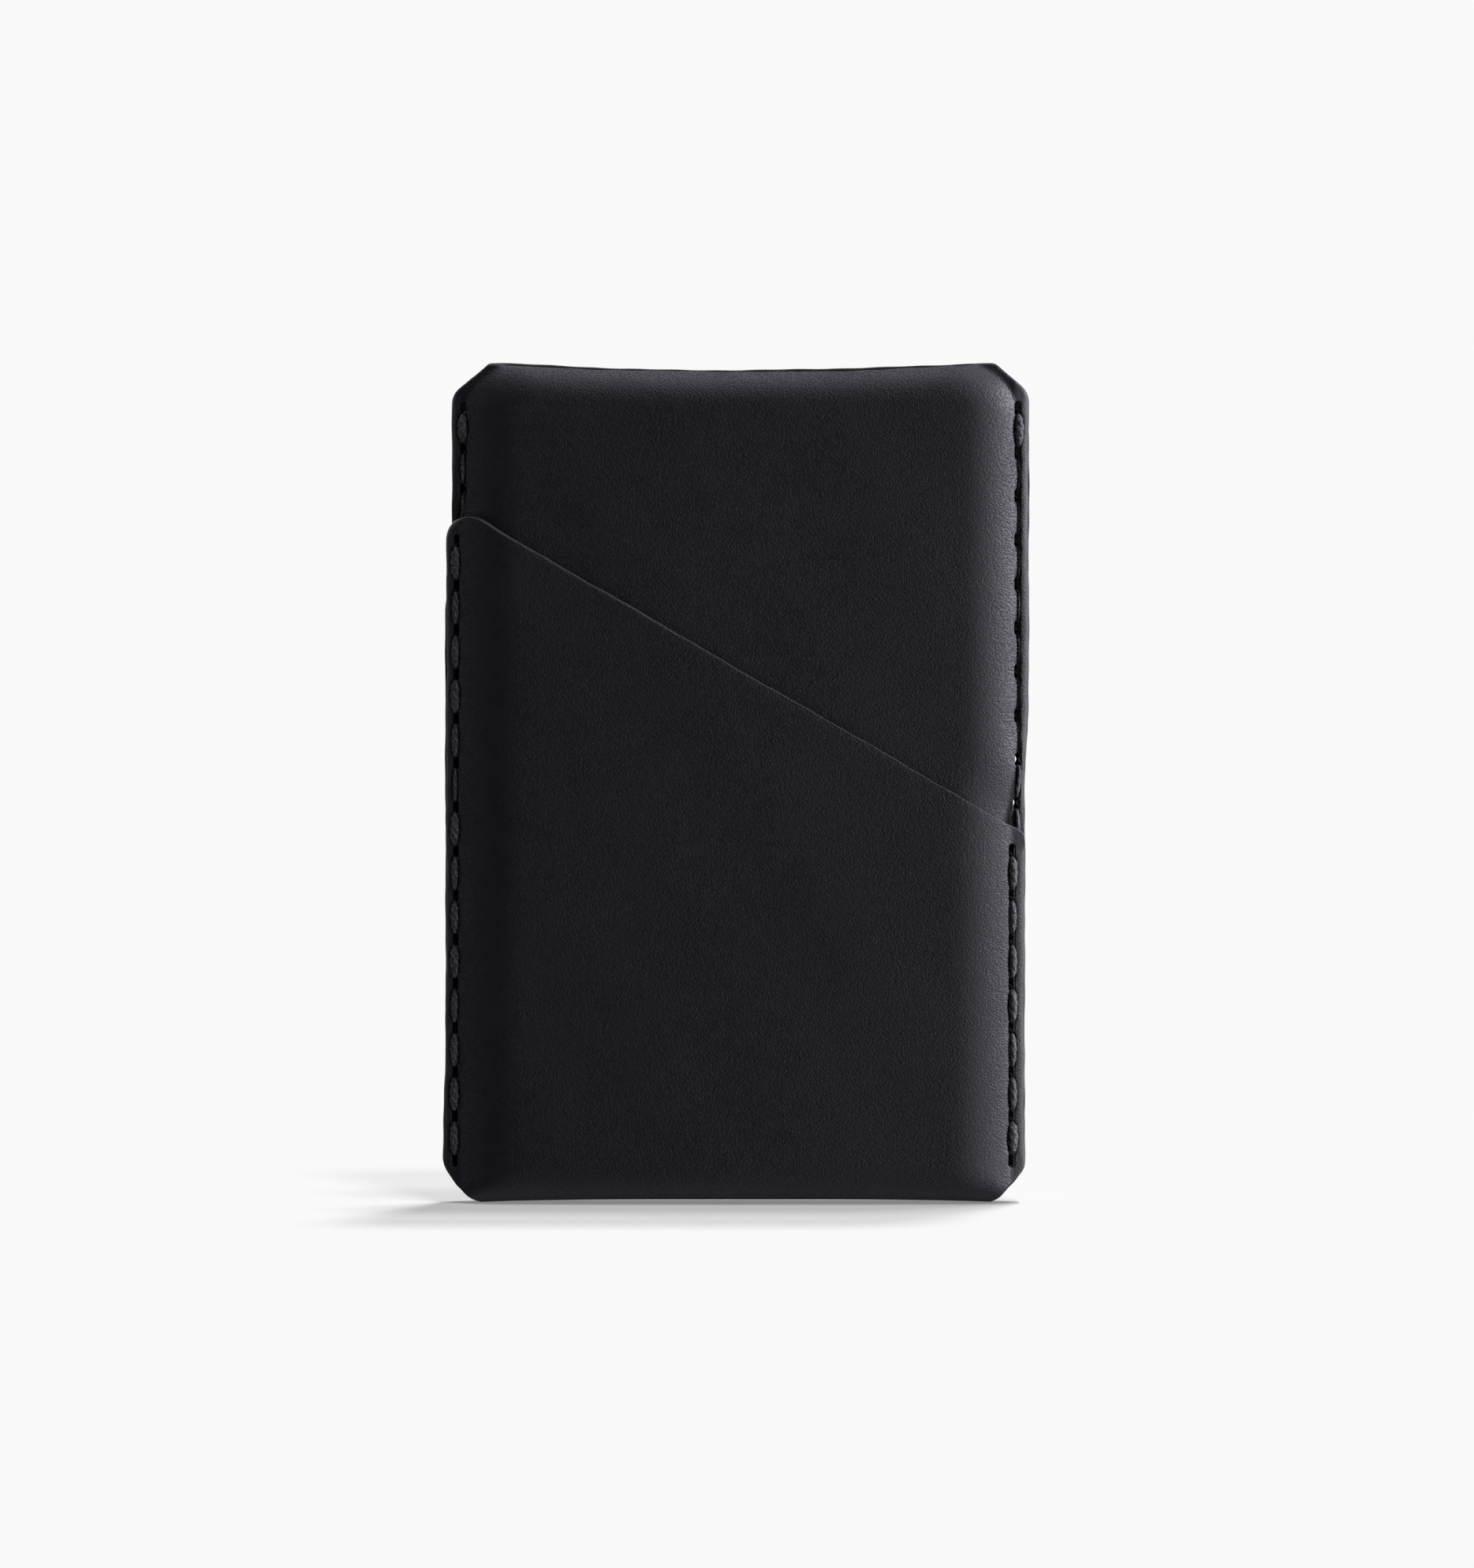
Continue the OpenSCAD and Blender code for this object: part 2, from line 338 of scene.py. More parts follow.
def loop_normals(loop):
    """Inward normals of an anticlockwise loop."""
    d = np.roll(loop, -1, 0) - np.roll(loop, 1, 0)
    n = np.stack([-d[:, 1], d[:, 0]], 1)
    return n / np.linalg.norm(n, axis=1, keepdims=True)


def hand_cut(loop, seed):
    """The loop with the slight waver of a hand-held knife."""
    steps = np.linalg.norm(np.roll(loop, -1, 0) - loop, axis=1)
    a = 2 * math.pi * np.cumsum(steps) / steps.sum()
    waves = ((0.04, 9), (0.03, 23), (0.02, 67))  # how far out of line, and how often round the loop
    waver = sum(size * np.sin(times * a + (i + 1) * seed) for i, (size, times) in enumerate(waves))
    return loop + loop_normals(loop) * waver[:, None]


def bottom_corners(left):
    """The corners below, from the left edge's cut to the right edge's."""
    return [(left + 3.4, 0, 3.4), (LOWER_RIGHT - 3.3, 0, 2.4), (LOWER_RIGHT, 4.2, 1.8)]


def body_outline(seed):
    """The outline of the inner panel and of the back."""
    right_z, left_z, half_h = 56, 76, 4  # where each side edge shifts over, and half the height it takes
    loop = hand_cut(rounded([
        *bottom_corners(LOWER_LEFT),
        (LOWER_RIGHT, right_z - half_h, 20),
        (UPPER_RIGHT, right_z + half_h, 20),
        (UPPER_RIGHT, HEIGHT - 3.6, 2.8),
        (UPPER_RIGHT - CHAMFER, HEIGHT, 1.3),
        (UPPER_LEFT + 4.4, HEIGHT, 0.5),
        (UPPER_LEFT, HEIGHT - 3.8, 2.4),
        (UPPER_LEFT, left_z + half_h, 8),
        (LOWER_LEFT, left_z - half_h, 8),
        (LOWER_LEFT, 4.5, 3.2),
    ]), seed)
    high = loop[:, 1] > HEIGHT / 2
    loop[high, 1] -= HEIGHT - top_z(loop[high, 0])
    return loop


def pocket_outline(seed):
    """The outline of the pocket's front, whose top is the slanted mouth."""
    left = LOWER_LEFT - FLARE
    return hand_cut(rounded([
        *bottom_corners(left),
        (LOWER_RIGHT, mouth_z(LOWER_RIGHT), MOUTH_END_R),
        (LOWER_LEFT + 0.2, mouth_z(LOWER_LEFT + 0.2), TIP_R),
        (LOWER_LEFT, 18, 30),
        (left, 4.5, 3.2),
    ]), seed)


def round_the_fold(loop):
    """t for each outline point (x, z), measured round the fold."""
    x, z = loop[:, 0], loop[:, 1]
    top = fold_top(x)
    angle = np.arcsin(np.clip((top - z) / fold_radius(x), 0, 1))
    return np.where(z > top, z, top * (1 - 2 * angle / math.pi))


def panel_domain():
    """The inner panel's outline, which stops just above the fold."""
    loop = body_outline(1.0)
    loop[:, 1] = np.maximum(loop[:, 1], fold_top(loop[:, 0]) + 2 * GAP)
    return loop


def wrap_domain():
    """The wrap laid out flat as x and t: the pocket above 0, the back below 0, with a notch at each end of
    the fold where the corners are cut off."""
    pocket, back = pocket_outline(2.0), body_outline(4.0)
    apart, tilt = 0.3, 0.01  # tilt picks the right-hand end of each half as its first point
    pocket = np.stack([pocket[:, 0], round_the_fold(pocket)], 1)
    back = np.stack([back[:, 0], -round_the_fold(back)], 1)
    pocket = pocket[pocket[:, 1] > apart]
    back = back[back[:, 1] < -apart][::-1]
    pocket = np.roll(pocket, -int(np.argmin(pocket[:, 1] - tilt * pocket[:, 0])), 0)
    back = np.roll(back, -int(np.argmax(back[:, 1] - tilt * back[:, 0])), 0)
    return np.vstack([pocket, back])


def slot_loop(x, t, steps=9):
    """A round-ended stitch hole, clockwise."""
    r, s = HOLE_W / 2, (HOLE_L - HOLE_W) / 2
    a = np.linspace(0, math.pi, steps)
    upper = np.stack([np.cos(a) * r, s + np.sin(a) * r], 1)
    return (np.vstack([upper, -upper]) + [x, t])[::-1]


def slots(layer):
    """The stitch holes of a layer: pocket, panel or back."""
    loops = []
    for side in (-1, 1):
        for k in range(HOLES):
            if layer != "pocket" or in_pocket(side, k):
                z = hole_z(side, k)
                loops.append(slot_loop(hole_x(side, k, layer), -z if layer == "back" else z))
    return loops


# ---------------------------------------------------------------- sheet meshing


def spaced(low, high, fine_zones, coarse, fine):
    """Places from low to high, coarse apart, and fine apart within the (start, end) zones."""
    places, at = [], low
    while at < high:
        places.append(at)
        gap = min([max(0, a - at, at - b) for a, b in fine_zones] + [99])
        at += fine + (coarse - fine) * float(smooth(gap / 4))
    return np.array(places)


def sheet_grid(low, high, fine_zones):
    """Points of a sheet's flat domain: close together by the seams, wide apart in the middle."""
    edge, seam, flank = 36, 32.2, 25.5  # how far out the sheet ends, and its seam and its flank begin
    points = []
    for i, x in enumerate(spaced(-edge, edge, [(-edge, -seam), (seam, edge)], 1.2, 0.13)):
        coarse = 0.42 if abs(x) > seam else 0.7 if abs(x) > flank else 1.3
        ts = spaced(low + coarse / 2 * (i % 2), high, fine_zones, coarse, min(coarse, 0.4))
        points.append(np.stack([np.full_like(ts, x), ts], 1))
    return np.vstack(points)


def inside(points, loops):
    """True for the points inside the loops, by counting the edges crossed."""
    order = np.argsort(points[:, 1])
    ys, xs = points[order, 1], points[order, 0]
    odd = np.zeros(len(points), bool)
    for loop in loops:
        for a, b in zip(loop, np.roll(loop, -1, 0)):
            if a[1] == b[1]:
                continue
            low, high = sorted((a[1], b[1]))
            i, j = np.searchsorted(ys, [low, high])
            crossing = a[0] + (ys[i:j] - a[1]) * (b[0] - a[0]) / (b[1] - a[1])
            odd[i:j] ^= xs[i:j] < crossing
    result = np.zeros(len(points), bool)
    result[order] = odd
    return result


# The rings of a rounded edge: how far in from the cut and how far below the face, as shares of the edge's
# width and depth, and how burnished the leather is there.
EDGE_RINGS = np.array([
    (1.0, 0.0, 0.15),
    (0.62, 0.075, 0.4),
    (0.29, 0.29, 0.85),
    (0.075, 0.62, 1),
    (0.0, 1.0, 1),
])
HOLE_EDGE = 0.1
DEEPEST_EDGE, DEEPEST_INNER_EDGE = 0.55, 0.2
CLEARANCE = 0.12  # between an edge ring and the nearest point of the grid


def triangulated(outline, holes, edge, grid):
    """Points, triangles, each point's ring (or -1) and edge radius, and the boundary's directed edges."""
    points, ring, radii, constraints, innermost = [], [], [], [], []
    count = 0
    for loop in [outline, *holes]:
        n = loop_normals(loop)
        radius = edge(*loop.T) if loop is outline else np.full(len(loop), HOLE_EDGE)
        innermost.append(loop + n * radius[:, None])
        for number, share in enumerate(EDGE_RINGS[:, 0]):
            points.append(loop + n * (radius * share)[:, None])
            ring += [number] * len(loop)
            radii += radius.tolist()
            ids = np.arange(count, count + len(loop))
            constraints.append(np.stack([ids, np.roll(ids, -1)], 1))
            count += len(loop)
    tree = KDTree(count)
    ringed = np.vstack(points)
    for i, p in enumerate(ringed):
        tree.insert((p[0], p[1], 0), i)
    tree.balance()
    grid = grid[inside(grid, innermost)]
    grid = grid[np.array([tree.find((p[0], p[1], 0))[2] for p in grid]) > CLEARANCE]
    ring += [-1] * len(grid)
    radii += [0.0] * len(grid)
    points = np.vstack([ringed, grid])
    fixed = np.vstack(constraints).tolist()
    result = delaunay_2d_cdt([Vector(p) for p in points], fixed, [], 0, 1e-7, True)
    flat, triangles = np.array(result[0]), np.array(result[2])
    source = np.array([s[0] if s else -1 for s in result[3]])
    ring = np.where(source >= 0, np.array(ring)[source], -1)
    radii = np.where(source >= 0, np.array(radii)[source], 0)
    triangles = triangles[inside(flat[triangles].mean(1), [outline, *holes])]
    edges = np.vstack([triangles[:, pair] for pair in ((0, 1), (1, 2), (2, 0))])
    forward, back = edges @ (len(flat), 1), edges[:, ::-1] @ (len(flat), 1)
    return flat, triangles, ring, radii, edges[~np.isin(forward, back)]


def add_piece(name, verts, faces, attributes):
    """A smooth mesh object from millimetre vertices, with number attributes on its points."""
    mesh = bpy.data.meshes.new(name)
    mesh.from_pydata((verts * MM).tolist(), [], faces)
    for attribute, values in attributes.items():
        vector = values.ndim == 2
        layer = mesh.attributes.new(attribute, "FLOAT_VECTOR" if vector else "FLOAT", "POINT")
        layer.data.foreach_set("vector" if vector else "value", values.astype(np.float32).ravel())
    mesh.polygons.foreach_set("use_smooth", [True] * len(mesh.polygons))
    mesh.update()
    piece = bpy.data.objects.new(name, mesh)
    bpy.context.scene.collection.objects.link(piece)
    return piece


def leather_sheet(name, surface, outline, holes, edge, grid, sunk_in):
    """A closed sheet of leather with rounded cut edges, from its flat outline and holes. Its attributes are
    flesh, the rough inside; cut, the burnished edge; and pull, the stretched grain by a seam."""
    flat, triangles, ring, radius, border = triangulated(outline, holes, edge, grid)
    x, t = flat.T
    place, n = surface(x, t), normals(surface, x, t)
    sunk = np.where(ring >= 0, EDGE_RINGS[ring, 1], 0)
    depth = sunk * np.minimum(radius, DEEPEST_EDGE)
    outer = place - n * (depth + sunk_in(x, t, place[:, 2]))[:, None]
    inner = place - n * (LEATHER - sunk * np.minimum(radius, DEEPEST_INNER_EDGE))[:, None]
    size = len(flat)
    a, b = border.T
    walls = [np.stack([b, a, a + size], 1), np.stack([b, a + size, b + size], 1)]
    faces = [triangles, triangles[:, ::-1] + size, *walls]
    # The side edges are bare leather. Along the mouth and the top less of the cut edge's colour shows, and
    # less still towards the right.
    cut_share = np.maximum(smooth((np.abs(x) - 33) / 1.5), 0.3 - 0.25 * smooth((x + 20) / 30))
    cut = np.where(ring >= 0, EDGE_RINGS[ring, 2], 0) * cut_share
    pull = smooth((np.abs(x) - FLAT_HALF) / 5)
    return add_piece(name, np.vstack([outer, inner]), np.vstack(faces).tolist(), {
        "flesh": np.concatenate([0 * cut, 1 + 0 * cut]),
        "cut": np.concatenate([cut, cut]),
        "pull": np.concatenate([pull, pull]),
    })


def panel_edge(x, z):
    """How wide the panel's edge is rounded: little between layers and on the lip, and most up the sides."""
    return 0.12 + 0.54 * above_mouth(x, z) - 0.38 * smooth((z - HEIGHT + 5) / 2)


def wrap_edge(x, t):
    """How wide the wrap's edge is rounded: crisp along the mouth and the top, less so at the fold's ends,
    and domed down the sides."""
    mouth = smooth(2.2 - np.abs(t - mouth_z(x)))
    crisp = np.maximum(mouth, smooth((np.abs(t) - HEIGHT + 5) / 2))
    notch = smooth((7 - np.abs(t)) / 3)
    return 0.64 - 0.44 * crisp - 0.3 * notch - 0.1 * mouth * smooth((x + 10) / 30)


def make_panel():
    low, high = 0, HEIGHT + 1
    grid = sheet_grid(low, high, [(HEIGHT - 6, high)])
    return leather_sheet(
        "inner_panel_leather", panel_surface, panel_domain(), slots("panel"), panel_edge, grid,
        lambda x, t, z: channel(x, z, "panel"),
    )


def make_wrap():
    low, high = -HEIGHT - 1, 90  # just past the back's top and the pocket's tip
    grid = sheet_grid(low, high, [(-6, 6)])
    return leather_sheet(
        "outer_wrap_leather", wrap_surface, wrap_domain(), slots("pocket") + slots("back"), wrap_edge, grid,
        lambda x, t, z: np.where(t > 0, channel(x, z, "pocket"), channel(x, z, "back")),
    )


# ---------------------------------------------------------------- thread


def smooth_path(controls, step=0.14):
    """A Catmull-Rom curve through rows of numbers that start with x, y and z, in points about step apart."""
    p = np.array(controls, float)
    p = np.vstack([2 * p[0] - p[1], p, 2 * p[-1] - p[-2]])
    out = []
    for a, b, c, d in zip(p, p[1:], p[2:], p[3:]):
        n = max(2, math.ceil(np.linalg.norm(c[:3] - b[:3]) / step))
        u = np.linspace(0, 1, n, endpoint=False)[:, None]
        square, cube = 2 * a - 5 * b + 4 * c - d, 3 * b - a - 3 * c + d
        out.append(0.5 * (2 * b + (c - a) * u + square * u**2 + cube * u**3))
    return np.vstack([*out, p[-2][None]])


def strand(side, low, front):
    """Control rows of the stitch from hole low up to the next: x, y, z, half width, half thickness."""
    out = -1 if front else 1
    layer = "back" if not front else "pocket" if in_pocket(side, low) else "panel"
    hidden = front and in_pocket(side, low) and not in_pocket(side, low + 1)
    layer = "panel" if hidden else layer
    face = {"pocket": POCKET_FACE, "panel": PANEL_FACE, "back": BACK_FACE}[layer]
    loose = 0.5 if hidden else looseness(side, low) if front else 1
    half, thick = 0.06 + 0.40 * loose, 0.15 + 0.13 * loose
    proud = -0.03 if loose > 0.6 else -0.1 if loose > 0.42 else -0.42  # the strand's middle above the face
    aside = side * (0.14 if front and side > 0 else 0.04)  # how far outwards of its holes the strand lies
    ends = []
    for k, way in ((low, 1), (low + 1, -1)):
        x, z = hole_x(side, k, layer), hole_z(side, k)
        wall = x + side * (0.19 if (side, k) in SEE_THROUGH else 0)
        # From deep in the hole up its wall, over the rim and out along the face.
        ends.append([
            (wall, face - out * 1.15, z + way * 0.64, 0.16, 0.14),
            (wall, face - out * 0.5, z + way * 0.70, 0.17, 0.14),
            (x + aside * 0.3, face + out * (proud - 0.16), z + way * 0.86, 0.20 + 0.08 * loose, 0.17),
            (x + aside * 0.8, face + out * (proud - 0.01), z + way * 1.15, half * 0.72, thick * 0.9),
            (x + aside, face + out * proud, z + way * 1.5, half * 0.95, thick),
        ])
    first, last = ends
    if hidden:
        # The pocket's edge hides the rest of this stitch, which lies flat between the layers.
        x, z = hole_x(side, low, layer), hole_z(side, low)
        slide = mouth_z(hole_x(side, low, "pocket")) - (1.2 if side < 0 else 0.5)
        upper = last[0][0]
        first = [
            (x, face + 1.05, z + 0.62, 0.16, 0.14),
            (x, face + 0.25, z + 0.76, 0.2, 0.13),
            (upper * 0.5 + x * 0.5, face + 0.12, slide - 0.9, 0.28, 0.12),
            (upper, face + 0.02, slide + 0.2, 0.3, 0.18),
        ]
        return [*first, *last[::-1]]
    a, b = np.array(first[-1]), np.array(last[-1])
    middle = (a + b) / 2 + [aside * 0.2, out * 0.03, 0, half * 0.14, 0.01]
    return [*first, tuple(middle), *last[::-1]]


def thread_route(side):
    """The whole thread of a seam: from the top down, round the lowest hole, and up again."""
    down, up = [], []
    for low in range(TOP - 1, -1, -1):
        down += strand(side, low, low % 2 == 0)[::-1]
    for low in range(TOP):
        up += strand(side, low, low % 2 == 1)
    x, z = hole_x(side, TOP, "back"), hole_z(side, TOP)
    ends = [(x, BACK_FACE + 0.08, z + 0.1 + way, 0.26, 0.2) for way in (0.2, -0.2)]
    return [ends[0], *down, *up, ends[1]]


def make_thread(name, side):
    """A waxed thread: plies laid into one cord, flattened where it lies on the leather. Its attributes are
    lay, which follows the fibres, and between, where painted shade darkens the grooves between the plies and
    the thread inside the holes."""
    sides, plies, lay_length, ply_bulge = 18, 3, 3.4, 0.2
    route = smooth_path(thread_route(side))
    centre, wide, thick = route[:, :3], route[:, 3], route[:, 4]
    face = np.where(centre[:, 2] < hole_z(side, LAST_POCKET_HOLE[side]) + 1, POCKET_FACE, PANEL_FACE)
    sunk = np.minimum(centre[:, 1] - face, BACK_FACE - centre[:, 1])
    deep = smooth((sunk - 0.15) / 0.25)
    tangent = np.gradient(centre, axis=0)
    tangent /= np.linalg.norm(tangent, axis=1, keepdims=True)
    across = np.array([1.0, 0, 0]) - tangent * tangent[:, :1]
    across /= np.linalg.norm(across, axis=1, keepdims=True)
    out = np.cross(tangent, across)
    along = np.concatenate([[0], np.cumsum(np.linalg.norm(np.diff(centre, axis=0), axis=1))])
    angle = np.linspace(0, 2 * math.pi, sides, endpoint=False)
    turned = angle[None] + 2 * math.pi * along[:, None] / lay_length
    ply = np.abs(np.cos(plies / 2 * turned))
    bulge = 1 - ply_bulge * (1 - ply)
    ring = (
        centre[:, None]
        + across[:, None] * (wide[:, None] * bulge * np.cos(angle))[..., None]
        + out[:, None] * (thick[:, None] * bulge * np.sin(angle))[..., None]
    )
    rows = len(ring)
    i, j = np.meshgrid(np.arange(rows - 1), np.arange(sides), indexing="ij")
    a, b = i * sides + j, i * sides + (j + 1) % sides
    quads = np.stack([a, b, b + sides, a + sides], -1).reshape(-1, 4)
    last, ends = (rows - 1) * sides, rows * sides
    caps = [(ends, (k + 1) % sides, k) for k in range(sides)]
    caps += [(ends + 1, last + k, last + (k + 1) % sides) for k in range(sides)]
    stretch = 0.35  # how much slower the fibres change along the thread than round it
    lay = np.stack([np.cos(turned), np.sin(turned), along[:, None] * stretch + 0 * turned], -1).reshape(-1, 3)
    verts = np.vstack([ring.reshape(-1, 3), centre[:1], centre[-1:]])
    return add_piece(name, verts, quads.tolist() + caps, {
        "lay": np.vstack([lay, lay[:1] * 0, lay[-1:] * 0]),
        # between: painted shade in the grooves between the plies and where the thread is down in a hole.
        "between": np.concatenate([np.maximum((1 - ply) ** 2, deep[:, None]).ravel(), [0, 0]]),
    })


# ---------------------------------------------------------------- materials


class Nodes:
    """Short calls that add nodes to a material."""

    def __init__(self, name):
        self.material = bpy.data.materials.new(name)
        self.material.use_nodes = True
        self.tree = self.material.node_tree
        self.shader = self.tree.nodes["Principled BSDF"]

    def add(self, kind, inputs=None, **settings):
        node = self.tree.nodes.new(kind)
        for key, value in settings.items():
            setattr(node, key, value)
        for key, value in (inputs or {}).items():
            self.put(node.inputs[key], value)
        return node

    def put(self, socket, value):
        if isinstance(value, bpy.types.NodeSocket):
            self.tree.links.new(value, socket)
        else:
            socket.default_value = value

    def math(self, operation, a, b=0.0, c=0.0):
        return self.add("ShaderNodeMath", {0: a, 1: b, 2: c}, operation=operation).outputs[0]

    def vectors(self, operation, a, b):
        """A vector worked out from two."""
        return self.add("ShaderNodeVectorMath", {0: a, 1: b}, operation=operation).outputs[0]

    def attribute(self, name, output="Fac"):
        return self.add("ShaderNodeAttribute", attribute_name=name).outputs[output]

    def mix(self, factor, a, b):
        """A colour between a and b."""
        node = self.add("ShaderNodeMix", data_type="RGBA")
        self.put(node.inputs["Factor"], factor)
        self.put(node.inputs[6], a)
        self.put(node.inputs[7], b)
        return node.outputs[2]

    def ramp(self, factor, stops):
        """A number that follows the (position, value) stops."""
        node = self.add("ShaderNodeValToRGB", {"Fac": factor})
        elements = node.color_ramp.elements
        while len(elements) < len(stops):
            elements.new(0.5)
        for element, (position, value) in zip(elements, stops):
            element.position = position
            element.color = (value, value, value, 1)
        return node.outputs["Color"]

    def noise(self, where, per_metre, detail=2.0, rough=0.5):
        inputs = {"Vector": where, "Scale": per_metre, "Detail": detail, "Roughness": rough}
        return self.add("ShaderNodeTexNoise", inputs).outputs["Fac"]

    def cells(self, where, per_metre):
        return self.add("ShaderNodeTexVoronoi", {"Vector": where, "Scale": per_metre}).outputs["Distance"]

    def bump(self, height, distance, strength):
        inputs = {"Height": height, "Distance": distance, "Strength": strength}
        return self.add("ShaderNodeBump", inputs).outputs["Normal"]


GRAIN_COLOUR = (0.0100, 0.0100, 0.0135, 1)
GRAIN_WORN = (0.0150, 0.0145, 0.0185, 1)
# Painted shade for the grain's pores.
GRAIN_PORE_SHADE = (0.003, 0.003, 0.003, 1)
CUT_COLOUR = (0.085, 0.075, 0.076, 1)
CUT_DARK = (0.022, 0.019, 0.020, 1)
FLESH_COLOUR = (0.050, 0.039, 0.036, 1)
FLESH_DARK = (0.016, 0.013, 0.012, 1)
THREAD_COLOUR = (0.016, 0.0145, 0.016, 1)
# The thread's lighter fibres, partly painted glints.
THREAD_FIBRE_AND_GLINT = (0.34, 0.33, 0.335, 1)
# Painted shade for the thread's grooves and for its parts inside the holes.
THREAD_SHADE = (0.003, 0.003, 0.003, 1)

# Texture sizes, as repeats in a metre, and heights in metres.
PITS, CREASES, FINE, FIBRE = 4300, 4400, 8000, 3300
GRAIN_RELIEF, THREAD_RELIEF = 0.00008, 0.00012
WARP = 0.0002  # how far the grain is pushed out of its even pattern
DRAWN = (0.75, 0.75, 1.05)  # how the grain stretches across the bends
LAYERS = (600, 2600, 170)  # how the cut edge is streaked, along x, y and z
# The holes (side, number) that creases spread from, and how far.
CREASED = {(1, 0): 0.0042, (1, LAST_POCKET_HOLE[1]): 0.0038, (1, TOP): 0.0040, (-1, 0): 0.0035}


def fan(n, where, centre, reach):
    """Fine creases that spread from a stitch hole: (height, strength), both numbers over the surface."""
    axes = n.add("ShaderNodeSeparateXYZ", {"Vector": n.vectors("SUBTRACT", where, tuple(centre))})
    x, z = axes.outputs["X"], axes.outputs["Z"]
    turn = n.math("ARCTAN2", z, x)
    away = n.math("SQRT", n.math("ADD", n.math("POWER", x, 2), n.math("POWER", z, 2)))
    spokes, waver = 5.5, 150  # how often the creases repeat round the hole, and how fast they change outwards
    ray = n.add("ShaderNodeCombineXYZ", {"X": turn, "Y": n.math("MULTIPLY", away, waver)}).outputs[0]
    crease = n.noise(ray, spokes, 2.0, 0.6)
    near = n.ramp(n.math("DIVIDE", away, reach), [(0.10, 0.0), (0.28, 1.0), (1.0, 0.0)])
    return crease, near


def leather_material():
    n = Nodes("black_leather")
    where = n.add("ShaderNodeTexCoord").outputs["Object"]
    flesh, cut, pull = n.attribute("flesh"), n.attribute("cut"), n.attribute("pull")

    # A fine grain: rounded pebbles with a pore between them, drawn out across the bends.
    warp = n.add("ShaderNodeTexNoise", {"Vector": where, "Scale": 900.0, "Detail": 1.0}).outputs["Color"]
    shift = n.vectors("MULTIPLY", n.vectors("ADD", warp, (-0.5, -0.5, -0.5)), (WARP, WARP, WARP))
    bent = n.vectors("ADD", where, shift)
    drawn = n.vectors("MULTIPLY", bent, DRAWN)
    pits = n.mix(pull, n.cells(bent, PITS), n.cells(drawn, PITS))
    pits = n.ramp(pits, [(0.0, 0.0), (0.2, 0.4), (0.5, 0.9), (0.8, 1.0)])
    creases = n.mix(pull, n.noise(bent, CREASES), n.noise(drawn, CREASES))
    creases = n.ramp(creases, [(0.3, 0.0), (0.5, 0.75), (0.75, 1.0)])
    relief = n.math("MULTIPLY", n.noise(where, FINE, 2, 0.6), 0.15)
    relief = n.math("MULTIPLY_ADD", creases, 0.4, relief)
    relief = n.math("MULTIPLY_ADD", pits, 0.45, relief)
    for (side, hole), reach in CREASED.items():
        layer = "pocket" if in_pocket(side, hole) else "panel"
        centre = np.array([hole_x(side, hole, layer), 0, hole_z(side, hole)]) * MM
        crease, near = fan(n, where, centre, reach)
        relief = n.mix(n.math("MULTIPLY", near, 0.6), relief, crease)
    relief = n.mix(n.math("MAXIMUM", flesh, cut), relief, n.noise(where, FIBRE, 5, 0.75))
    n.put(n.shader.inputs["Normal"], n.bump(relief, GRAIN_RELIEF, 1.0))

    cloudy = n.noise(where, 45, 3)
    mottled = n.noise(where, 700, 3)
    tone = n.math("MULTIPLY_ADD", cloudy, 0.6, n.math("MULTIPLY", mottled, 0.4))
    grain = n.mix(n.ramp(tone, [(0.38, 0), (0.66, 1)]), GRAIN_COLOUR, GRAIN_WORN)
    # Painted shade: the pores between the pebbles are painted darker.
    grain = n.mix(n.ramp(pits, [(0.0, 0.95), (0.75, 0.0)]), grain, GRAIN_PORE_SHADE)
    strands = n.noise(n.vectors("MULTIPLY", where, LAYERS), 1.0, 4, 0.7)
    cut_colour = n.mix(n.ramp(strands, [(0.35, 0), (0.65, 1)]), CUT_DARK, CUT_COLOUR)
    flesh_colour = n.mix(n.ramp(n.noise(where, 1300, 5, 0.7), [(0.3, 0), (0.7, 1)]), FLESH_DARK, FLESH_COLOUR)
    colour = n.mix(cut, n.mix(flesh, grain, flesh_colour), cut_colour)
    n.put(n.shader.inputs["Base Color"], colour)

    patchy = n.ramp(n.noise(where, 220, 3), [(0.3, 0.44), (0.7, 0.53)])
    roughness = n.math("MULTIPLY_ADD", n.math("SUBTRACT", 1.0, pits), 0.4, patchy)
    roughness = n.mix(flesh, roughness, (0.88, 0.88, 0.88, 1))
    roughness = n.mix(cut, roughness, (0.62, 0.62, 0.62, 1))
    n.put(n.shader.inputs["Roughness"], roughness)
    n.put(n.shader.inputs["IOR"], 1.48)
    return n.material


def thread_material():
    n = Nodes("waxed_thread")
    lay, between = n.attribute("lay", "Vector"), n.attribute("between")
    where = n.add("ShaderNodeTexCoord").outputs["Object"]
    fibres = n.noise(lay, 10.0, 3, 0.6)
    fuzz = n.noise(where, 4600, 4, 0.7)
    streaks = n.math("MULTIPLY_ADD", fibres, 0.6, n.math("MULTIPLY", fuzz, 0.4))
    # Lighter streaks of fibre, partly real and partly painted highlight: glints painted onto the thread.
    colour = n.mix(n.ramp(streaks, [(0.50, 0), (0.62, 1)]), THREAD_COLOUR, THREAD_FIBRE_AND_GLINT)
    # Painted shade: the grooves between the plies and the thread inside the holes are painted darker.
    colour = n.mix(n.math("MULTIPLY", between, 0.95), colour, THREAD_SHADE)
    n.put(n.shader.inputs["Base Color"], colour)
    n.put(n.shader.inputs["Normal"], n.bump(streaks, THREAD_RELIEF, 0.9))
    n.put(n.shader.inputs["Roughness"], n.ramp(streaks, [(0.35, 0.62), (0.7, 0.32)]))
    return n.material


# ---------------------------------------------------------------- camera, floor and light

